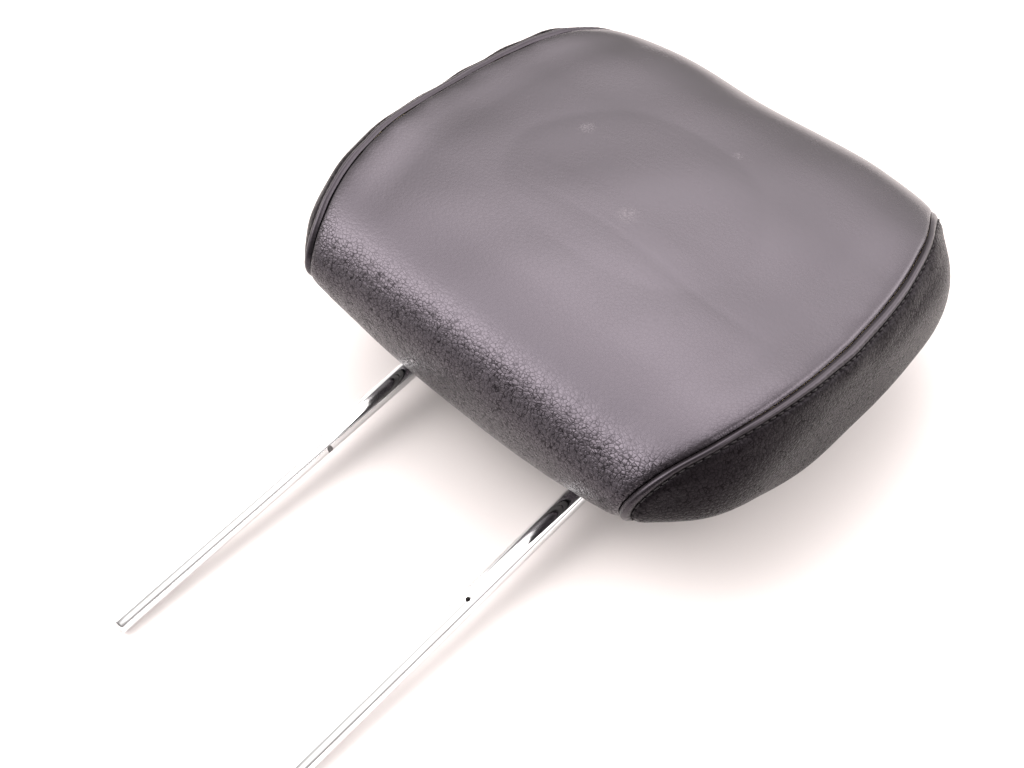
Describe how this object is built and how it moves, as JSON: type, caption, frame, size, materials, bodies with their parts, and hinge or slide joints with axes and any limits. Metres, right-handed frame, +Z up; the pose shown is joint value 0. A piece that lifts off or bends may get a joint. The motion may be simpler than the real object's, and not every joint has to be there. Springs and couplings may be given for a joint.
{
  "type": "car headrest",
  "caption": "Car headrest: padded leather cushion with stitched side panels on a bent chromed stay with two straight notched posts, lying on its back.",
  "frame": {"origin": "on the floor under the middle of the whole part: bottom centre of its box", "axes": "+X across the width, -Y the way the posts point, +Z up from the floor, towards the side that the head leans on"},
  "size_m": [0.2894, 0.4372, 0.1141],
  "materials": {
    "leather": "dark grained leather with a satin sheen",
    "thread": "dark bonded thread",
    "chrome": "bright chrome plating, lightly smeared",
    "foam": "moulded open-cell foam",
    "plastic": "fine-textured black plastic",
    "screw_steel": "zinc-plated steel"
  },
  "bodies": {
    "root": {"stay_tube": "chrome", "carrier_tray_front": "plastic", "carrier_tray_rear": "plastic", "carrier_screw_1": "screw_steel", "carrier_screw_2": "screw_steel", "carrier_screw_3": "screw_steel", "carrier_screw_4": "screw_steel", "cover_centre_panel": "leather", "cover_side_panel_left": "leather", "cover_side_panel_right": "leather", "top_stitch_left": "thread", "top_stitch_right": "thread", "closure_strip_hook": "plastic", "closure_strip_catch": "plastic", "post_bezel_left": "plastic", "post_bezel_right": "plastic", "foam_pad": "foam"}
  },
  "joints": []
}
